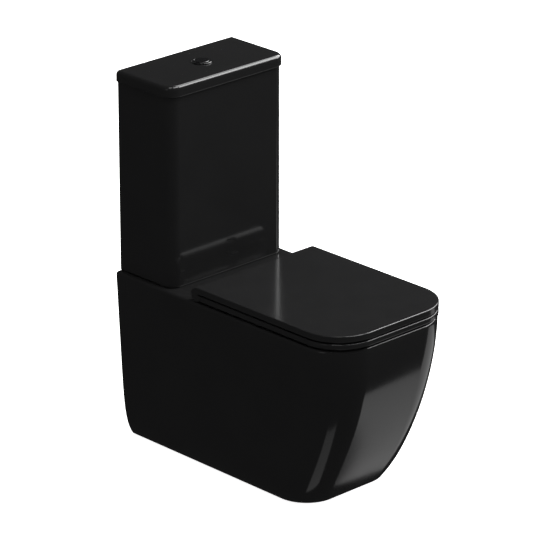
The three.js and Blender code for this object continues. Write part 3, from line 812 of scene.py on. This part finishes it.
def make_flush_valve_cap():
    e = Extent("flush_valve_cap")
    disc = lathe(ring_profile(15 * MM, e.radius, e.z0, 688 * MM, MM), e.x, e.y, 96)
    parts = [block(e.x - 20 * MM, e.x + 20 * MM, e.y - 7 * MM, e.y + 7 * MM, 682 * MM, 690 * MM)]
    for x0, x1 in ((2, 12), (-16, -6)):
        parts.append(block(x0 * MM, x1 * MM, e.y - 7 * MM, e.y + 7 * MM, 688.4 * MM, e.z1))
    flute(disc, e.x, e.y, 18, 0.8 * MM, 34 * MM)
    return shade(soften(join(disc, *[soften(part, 0.8 * MM) for part in parts]), 0.3 * MM, 1, 60))


def make_flush_piston():
    e = Extent("flush_piston")
    tube = 13 * MM
    profile = [(10 * MM, e.z0), *soft_corner(e.radius, e.z0, MM, -90),
               *soft_corner(e.radius, e.z0 + 4.8 * MM, MM, 0)]
    profile += arc(tube + 5 * MM, e.z0 + 9.8 * MM, 5 * MM, -90, -180, 6)
    for z in (500 * MM, 540 * MM, 580 * MM, 620 * MM):
        profile += groove(tube, z, z + 3 * MM, 0.5 * MM, 0.6 * MM)
    profile += [*soft_corner(tube, e.z1, 0.8 * MM, 0), *arc(10.8 * MM, e.z1 - 0.8 * MM, 0.8 * MM, 90, 180, 3)]
    return shade(lathe(profile, e.x, e.y, 72))


make_each(make_flush_valve_base)
piece("flush_valve_backnut", grip_nut("flush_valve_backnut", 29.4 * MM, 16))
make_each(make_flush_valve_tower, make_flush_valve_cap, make_flush_piston)
for part in ("flush_valve_seal", "flush_piston_seal", "doughnut_gasket", "fill_valve_seal"):
    piece(part, seal(part))


# ---- fill valve
def make_fill_valve_body():
    e = Extent("fill_valve_body")
    flange_low, flange_high, column = 405.8 * MM, 409 * MM, 11 * MM
    profile = [(5.5 * MM, e.z0), (9 * MM, e.z0),
               *thread(10 * MM, e.z0 + MM, flange_low - MM, 2 * MM, 0.9 * MM),
               (9 * MM, flange_low), *soft_corner(18 * MM, flange_low, 0.8 * MM, -90),
               *soft_corner(18 * MM, flange_high, 0.8 * MM, 0), (column + MM, flange_high),
               (column, flange_high + MM)]
    for z in (520 * MM, 526 * MM, 532 * MM, 538 * MM, 612 * MM, 618 * MM):
        profile += groove(column, z, z + 2.4 * MM, 0.6 * MM, 0.6 * MM)
    profile += [*soft_corner(column, e.z1, 0.6 * MM, 0), (5.5 * MM, e.z1)]
    return shade(lathe(profile, e.x, e.y, 72))


def make_fill_valve_head():
    e = Extent("float_lever")
    bottom = low("fill_valve_head")[2]
    radius, top = 19 * MM, 670 * MM
    profile = [(0, bottom), *soft_corner(radius, bottom, MM, -90), (radius, bottom + 9 * MM),
               (radius - MM, bottom + 10 * MM), (radius - MM, bottom + 12 * MM), (radius, bottom + 13 * MM),
               *arc(radius - 4 * MM, top - 4 * MM, 4 * MM, 0, 90, 6), (0, top)]
    head = flute(lathe(profile, FILL_X, VALVE_Y, 144), FILL_X, VALVE_Y, 24, 0.7 * MM, 17.6 * MM)
    cut(head, block(FILL_X - 30 * MM, FILL_X - 16 * MM, VALVE_Y - 6 * MM, VALVE_Y + 6 * MM,
                    bottom - 3 * MM, top + 2 * MM))
    cheeks = [soften(block(FILL_X + 3 * MM, FILL_X + 13 * MM, VALVE_Y + side * 5 * MM,
                           VALVE_Y + side * 8 * MM, 665 * MM, 679 * MM), 1.2 * MM, 3) for side in (-1, 1)]
    pin = lathe(rod_profile(1.2 * MM, VALVE_Y - 8 * MM, VALVE_Y + 8 * MM), 0, 0, 24)
    pin.data.transform(Matrix.Translation((FILL_X + 8 * MM, 0, e.z)) @ Matrix.Rotation(-math.pi / 2, 4, "X"))
    return shade(join(head, *cheeks, pin))


def make_float_cup():
    e = Extent("float_cup")
    bottom, top, inner, outer = e.z0, 606 * MM, 13 * MM, e.radius
    profile = [(15.5 * MM, bottom), (15.5 * MM, 598 * MM), *arc(17.5 * MM, 598 * MM, 2 * MM, 180, 90, 4),
               *arc(22.5 * MM, 598 * MM, 2 * MM, 90, 0, 4), (24.5 * MM, bottom), (outer - 0.4 * MM, bottom),
               (outer, bottom + 0.4 * MM), (outer, 590 * MM), (outer - 0.6 * MM, 591 * MM),
               (outer - 0.6 * MM, 594 * MM), (outer, 595 * MM), *soft_corner(outer, top, 1.5 * MM, 0, 5),
               *arc(inner + MM, top - MM, MM, 90, 180, 4), (inner, bottom)]
    cup = lathe(profile, FILL_X, VALVE_Y, 96)
    link = lathe(rod_profile(2.2 * MM, 602 * MM, e.z1, 0.8 * MM), FILL_X - 24 * MM, VALVE_Y, 32)
    return shade(join(cup, link))


def make_float_lever():
    """Flat arm with round ends, a recessed web and an eye at the pivot."""
    e = Extent("float_lever")
    half = e.radius
    outline = arc(e.x0 + half, e.y, half, 90, 270, 12) + arc(e.x1 - half, e.y, half, -90, 90, 12)
    arm = loft([(outline, e.z0), (outline, e.z1)])
    webs = [block(e.x0 + 9 * MM, e.x1 - 13 * MM, e.y - 2.4 * MM, e.y + 2.4 * MM, z0, z1)
            for z0, z1 in ((e.z1 - 1.2 * MM, e.z1 + MM), (e.z0 - MM, e.z0 + 1.2 * MM))]
    eye = lathe(rod_profile(1.6 * MM, e.y - 6 * MM, e.y + 6 * MM), 0, 0, 24)
    eye.data.transform(Matrix.Translation((FILL_X + 8 * MM, 0, e.z)) @ Matrix.Rotation(-math.pi / 2, 4, "X"))
    return shade(soften(cut(arm, *webs, eye), 0.4 * MM))


make_each(make_fill_valve_body, make_fill_valve_head)
piece("fill_valve_backnut", grip_nut("fill_valve_backnut", 10.4 * MM, 12))
make_each(make_float_cup, make_float_lever)


# ---- fasteners between pan and cistern
def make_coupling_bolt(node):
    e = Extent(node)
    radius, head = 5 * MM, 407 * MM
    profile = [(0, e.z0), (radius - 1.2 * MM, e.z0), *thread(radius, e.z0 + MM, 400 * MM, 1.5 * MM, 0.8 * MM),
               (radius, 401 * MM), (radius, head), *soft_corner(e.radius, head, 0.6 * MM, -90)]
    dome = head + 2 * MM
    profile += [(e.radius * x, dome + (e.z1 - dome) * z) for x, z in arc(0, 0, 1, 0, 81, 9)] + [(0, e.z1)]
    bolt = lathe(profile, e.x, e.y, 64)
    return shade(cut(bolt, block(e.x - 0.9 * MM, e.x + 0.9 * MM, e.y0 - MM, e.y1 + MM, e.z1 - 2 * MM,
                                 e.z1 + MM)))


def make_wing_nut(node):
    """Cast wing nut: plain hub and two wings that thicken towards their tips."""
    e = Extent(node)
    inner, hub_radius = 5.4 * MM, 11 * MM
    hub = lathe(ring_profile(inner, hub_radius, e.z0, e.z1, 1.2 * MM, 4), e.x, e.y, 64)
    for side in (-1, 1):
        root, tip = e.y + side * 8 * MM, e.y + side * e.radius
        wing = soften(block(e.x - 2.4 * MM, e.x + 2.4 * MM, root, tip, 363.5 * MM, 372 * MM), 2 * MM, 4)
        for vertex in wing.data.vertices:
            along = (vertex.co.y - root) / (tip - root)
            vertex.co.x = e.x + (vertex.co.x - e.x) * lerp(0.75, 1.25, along)
            vertex.co.z -= 0.5 * MM * (1 - along)
        join(hub, wing)
    cut(hub, bore(inner, e.z0 - 10 * MM, e.z1 + 10 * MM, e.x, e.y))
    return shade(hub)


make_pairs(coupling_bolt=make_coupling_bolt, coupling_washer=seal, coupling_wing_nut=make_wing_nut)


# ---- seat hinges, dampers and buffers
def make_hinge_post(node):
    """Post with a rounded head round the pin, a flat leg and a threaded stud."""
    e = Extent(node)
    head_radius = e.z1 - AXIS_Z
    foot = high("hinge_base_left")[2] + MM
    head = bar(head_radius, e.x0, e.x1, soft=MM)
    leg = soften(block(e.x0, e.x1, AXIS_Y - head_radius, AXIS_Y + head_radius, foot, AXIS_Z), MM, 3)
    middle = (e.x0 + e.x1) / 2
    stud_profile = [(0, e.z0), (3.2 * MM, e.z0),
                    *thread(4 * MM, e.z0 + MM, foot - 3 * MM, 1.25 * MM, 0.6 * MM),
                    (4 * MM, foot - 2 * MM), (4 * MM, foot + 2 * MM), (0, foot + 2 * MM)]
    stud = lathe(stud_profile, middle, AXIS_Y, 48)
    join(head, leg, stud)
    return shade(cut(head, bar(HINGE_HOLE, e.x0 - MM, e.x1 + MM, segments=48)))


def make_hinge_base(node):
    e = Extent(node)
    levels = []
    for inset, z in ((0, e.z0), (0, e.z1 - MM), (MM, e.z1)):
        outline = round_outline((e.x1 - e.x0) / 2 - inset, WALL - e.y1 + inset, WALL - e.y0 - inset,
                                6 * MM - inset, 8)
        levels.append(([(e.x + x, y) for x, y in outline], z))
    plate_body = loft(levels)
    return shade(cut(plate_body, bore(HINGE_HOLE, e.z0 - MM, e.z1 + MM, e.x, e.y, 48)))


def make_hinge_nut(node):
    """Hexagon nut with chamfered corners and a threaded hole."""
    e = Extent(node)
    across = e.radius
    hexagon = [(e.x + across * math.sin(TAU * i / 6),
                e.y + across * math.cos(TAU * i / 6)) for i in range(6)][::-1]
    nut = loft([(hexagon, e.z0), (hexagon, e.z1)])
    keep = lathe([(0, e.z0), (across * 0.86, e.z0), (across, e.z0 + 2 * MM), (across, e.z1 - 2 * MM),
                  (across * 0.86, e.z1), (0, e.z1)], e.x, e.y, 72)
    combine(nut, [keep], "INTERSECT")
    hole = lathe([(0, e.z0 - MM), (HINGE_HOLE, e.z0 - MM), *thread(4.6 * MM, e.z0, e.z1, 1.25 * MM, 0.3 * MM),
                  (HINGE_HOLE, e.z1 + MM), (0, e.z1 + MM)], e.x, e.y, 48)
    return shade(cut(nut, hole))


def make_hinge_pin(node):
    e = Extent(node)
    pin = bar(PIN_RADIUS, e.x0, e.x1, segments=64, soft=0.8 * MM)
    for x in (e.x0 + 6 * MM, e.x1 - 6 * MM):
        ring = ring_profile(PIN_RADIUS - 0.5 * MM, PIN_RADIUS + MM, x - 0.5 * MM, x + 0.5 * MM, 0.1 * MM)
        cut(pin, lathe(ring, 0, AXIS_Y, 64, "X", AXIS_Z))
    return shade(pin)


def make_damper(node):
    """Rotary damper: cartridge with grooves near its ends and a flatted shaft."""
    e = Extent(node)
    near, far = -58 * MM if node == "seat_damper" else 96 * MM, e.x1
    radius = e.z1 - AXIS_Z
    profile = [(0, near), (radius - 0.6 * MM, near), (radius, near + 0.6 * MM)]
    for t in (0.12, 0.2, 0.8, 0.88):
        x = lerp(near, far, t)
        profile += groove(radius, x - 0.8 * MM, x + 0.8 * MM, 0.6 * MM, 0.4 * MM)
    profile += [(radius, far - 0.6 * MM), (radius - 0.6 * MM, far), (0, far)]
    body = lathe(profile, 0, AXIS_Y, 72, "X", AXIS_Z)
    shaft = bar(PIN_RADIUS - 0.1 * MM, e.x0, near + MM, segments=48, soft=0.4 * MM)
    flat_edge = PIN_RADIUS - 1.3 * MM
    for side in (-1, 1):
        cut(shaft, block(e.x0 - MM, near - 2 * MM, AXIS_Y - 6 * MM, AXIS_Y + 6 * MM,
                         AXIS_Z + side * flat_edge, AXIS_Z + side * 8 * MM))
    return shade(join(body, shaft))


def make_buffer(node):
    """Round rubber pad with a dimple on top."""
    e = Extent(node)
    radius = (e.x1 - e.x0) / 2
    height = e.z1 - e.z0
    soft = min(1.2 * MM, height * 0.3)
    profile = [(0, e.z0), *soft_corner(radius, e.z0, soft, -90, 4),
               *soft_corner(radius - 0.4 * MM, e.z1, soft, 0, 4),
               (radius * 0.5, e.z1), (radius * 0.35, e.z1 - height * 0.2), (0, e.z1 - height * 0.25)]
    return shade(lathe(profile, e.x, e.y, 56))


make_pairs(hinge_post=make_hinge_post, hinge_base=make_hinge_base, hinge_washer=seal,
           hinge_nut=make_hinge_nut, hinge_pin=make_hinge_pin)
for part in ("seat_damper", "lid_damper"):
    piece(part, make_damper(part))
for place in ("rear_left", "rear_right", "front_left", "front_right"):
    for kind in ("seat_buffer_", "lid_buffer_"):
        piece(kind + place, make_buffer(kind + place))


# ---- floor fixings
def make_floor_bracket(node):
    """Pressed steel angle with a rounded bend and two holes."""
    e = Extent(node)
    side = 1 if e.x > 0 else -1
    wall_x = side * max(abs(e.x0), abs(e.x1))
    end_x = side * min(abs(e.x0), abs(e.x1))
    sheet = 3 * MM
    bend = 2 * MM
    section = [(end_x, 0), (wall_x, 0), (wall_x, e.z1), (wall_x - side * sheet, e.z1)]
    start = 0 if side > 0 else 180
    section += arc(wall_x - side * (sheet + bend), sheet + bend, bend, start, start - side * 90, 6)
    section.append((end_x, sheet))
    if side < 0:
        section = section[::-1]
    count = len(section)
    vertices = [(x, y, z) for y in (e.y0, e.y1) for x, z in section]
    faces = [tuple(range(count)), tuple(reversed(range(count, 2 * count)))]
    faces += [(i, i + count, (i + 1) % count + count, (i + 1) % count) for i in range(count)]
    bracket = mesh_object(vertices, faces)
    floor_hole = bore(4.5 * MM, -MM, 5 * MM, side * 96 * MM, e.y, 40)
    screw_hole = bar(3.5 * MM, side * 112 * MM, side * 125 * MM, e.y, SCREW_HEIGHT, 40)
    return shade(soften(cut(bracket, floor_hole, screw_hole), 0.4 * MM))


def make_bracket_screw(node):
    """Hexagon-headed screw along X."""
    e = Extent(node)
    side = 1 if e.x > 0 else -1
    head_end, washer_end, tip = 113 * MM, 117.6 * MM, 136 * MM
    across = 6.5 * MM
    hexagon = [(across * math.cos(TAU * i / 6), across * math.sin(TAU * i / 6)) for i in range(6)]
    screw = soften(loft([(hexagon, head_end), (hexagon, washer_end)]), 0.6 * MM, 2)
    profile = [(0, washer_end - MM), (3 * MM, washer_end - MM), (3 * MM, washer_end + 2 * MM)]
    profile += [*thread(3 * MM, washer_end + 2 * MM, tip - 2 * MM, 1.5 * MM, 0.6 * MM), (0.6 * MM, tip),
                (0, tip)]
    join(screw, lathe(profile, 0, 0, 40))
    turn = Matrix.Rotation(side * math.pi / 2, 4, "Y")
    screw.data.transform(Matrix.Translation((0, e.y, SCREW_HEIGHT)) @ turn)
    return shade(screw)


make_pairs(floor_bracket=make_floor_bracket, bracket_screw=make_bracket_screw)

# ---- large pieces
make_each(make_pan, make_cistern, make_cistern_lid, make_seat_ring, make_seat_lid)

# ---- floor, light and camera
AZIMUTH, ELEVATION = math.radians(-43.77), math.radians(21.64)
DISTANCE, LENS = 8.147, 250.74
AIM_SIDE, AIM_HEIGHT = 0.2006, 0.3452
WHITE = (1, 1, 1, 1)
PAN_FRONT = Vector((0, out(600 * MM), 220 * MM))
TANK_FRONT = Vector((0, low("cistern")[1], 700 * MM))


def make_camera():
    back = Vector((math.sin(AZIMUTH) * math.cos(ELEVATION), -math.cos(AZIMUTH) * math.cos(ELEVATION),
                   math.sin(ELEVATION)))
    aim = Vector((AIM_SIDE * math.cos(AZIMUTH), WALL + AIM_SIDE * math.sin(AZIMUTH), AIM_HEIGHT))
    data = bpy.data.cameras.new("camera")
    data.lens, data.sensor_width = LENS, 36
    camera = bpy.data.objects.new("camera", data)
    camera.location = aim + back * DISTANCE
    camera.rotation_mode = "QUATERNION"
    camera.rotation_quaternion = (-back).to_track_quat("-Z", "Y")
    bpy.context.scene.collection.objects.link(camera)
    bpy.context.scene.camera = camera


def direction(azimuth, elevation):
    """Unit vector; azimuth 0 is +X and 90 is +Y, in degrees."""
    a, e = math.radians(azimuth), math.radians(elevation)
    return Vector((math.cos(e) * math.cos(a), math.cos(e) * math.sin(a), math.sin(e)))


def softbox(name, focus, start, end, width, radiance, diffuse=True, glossy=True):
    """Rectangular light between two ends, each (azimuth, elevation, distance) as seen from the focus."""
    a, b = (focus + direction(azimuth, elevation) * distance for azimuth, elevation, distance in (start, end))
    along = (b - a).normalized()
    middle = (a + b) / 2
    away = (middle - focus).normalized()
    facing = (away - along * away.dot(along)).normalized()
    across = facing.cross(along)
    data = bpy.data.lights.new(name, "AREA")
    data.shape = "RECTANGLE"
    data.size, data.size_y = (b - a).length, width
    data.energy = radiance * math.pi * data.size * data.size_y
    light = bpy.data.objects.new(name, data)
    light.rotation_mode = "QUATERNION"
    light.rotation_quaternion = Matrix((along, across, facing)).transposed().to_quaternion()
    light.location = middle
    light.visible_camera = False
    light.visible_diffuse = diffuse
    light.visible_glossy = glossy
    bpy.context.scene.collection.objects.link(light)


def make_lights():
    softbox("key_right", TANK_FRONT, (-42, 32, 5), (20, 27, 5), 2.4, 8.6)
    softbox("key_top", TANK_FRONT, (-96, 66, 5), (-42, 54, 5), 1.35, 8.8)
    softbox("overhead", TANK_FRONT, (-158, 66, 5), (-112, 70, 5), 1.0, 7)
    softbox("edge_sheen", TANK_FRONT, (-36, 52, 5), (34, 47, 5), 1.7, 4.5, diffuse=False)
    softbox("front_fill", TANK_FRONT, (-100, 34, 5), (-52, 34, 5), 1.6, 1.6, glossy=False)
    softbox("low_right", PAN_FRONT, (-19, -48, 5.1), (-6, -19.5, 3.7), 2.5, 0.67)
    softbox("low_left", PAN_FRONT, (-104, -64, 3.6), (-146, -65.5, 2.9), 1.65, 0.38)
    softbox("back_right", TANK_FRONT, (70, -12, 4), (70, 26, 4), 1.2, 0.5)
    softbox("back_left", TANK_FRONT, (112, -12, 4), (112, 24, 4), 0.9, 0.5)
    softbox("back_fill", TANK_FRONT, (46, 8, 5), (88, 8, 5), 2.0, 4.5, glossy=False)
    softbox("side_left", TANK_FRONT, (-165, 0, 4), (-165, 34, 4), 0.8, 0.4)


def make_world():
    """White backdrop for the camera, even fill for matt shading, and a nearly dark room in reflections."""
    world = bpy.data.worlds.new("studio")
    world.use_nodes = True
    nodes, links = world.node_tree.nodes, world.node_tree.links
    rays = nodes.new("ShaderNodeLightPath")
    level = nodes["Background"]
    set_inputs(level, Color=WHITE, Strength=0.015)
    result = level
    for strength, output in ((0.42, "Is Diffuse Ray"), (1.0, "Is Camera Ray")):
        layer = nodes.new("ShaderNodeBackground")
        set_inputs(layer, Color=WHITE, Strength=strength)
        choose = nodes.new("ShaderNodeMixShader")
        links.new(rays.outputs[output], choose.inputs["Fac"])
        links.new(result.outputs[0], choose.inputs[1])
        links.new(layer.outputs["Background"], choose.inputs[2])
        result = choose
    links.new(result.outputs["Shader"], nodes["World Output"].inputs["Surface"])
    bpy.context.scene.world = world


def make_floor():
    """Pale studio floor, kept out of the glaze's reflections so that the low softboxes can show in them."""
    half, bottom = 20.0, -0.5 * MM
    floor = mesh_object([(-half, -half, bottom), (half, -half, bottom), (half, half, bottom),
                         (-half, half, bottom)], [(0, 1, 2, 3)])
    material = principled("pale_floor", (0.85, 0.85, 0.85), 0.9)
    set_inputs(material.node_tree.nodes["Principled BSDF"], Specular_IOR_Level=0.0, Emission_Color=WHITE,
               Emission_Strength=0.9)
    floor.name = "studio_floor"
    floor.data.materials.append(material)
    floor.visible_glossy = False
    floor.visible_diffuse = False
    floor.visible_shadow = False


make_camera()
make_lights()
make_world()
make_floor()
bpy.context.scene.view_settings.view_transform = "Standard"
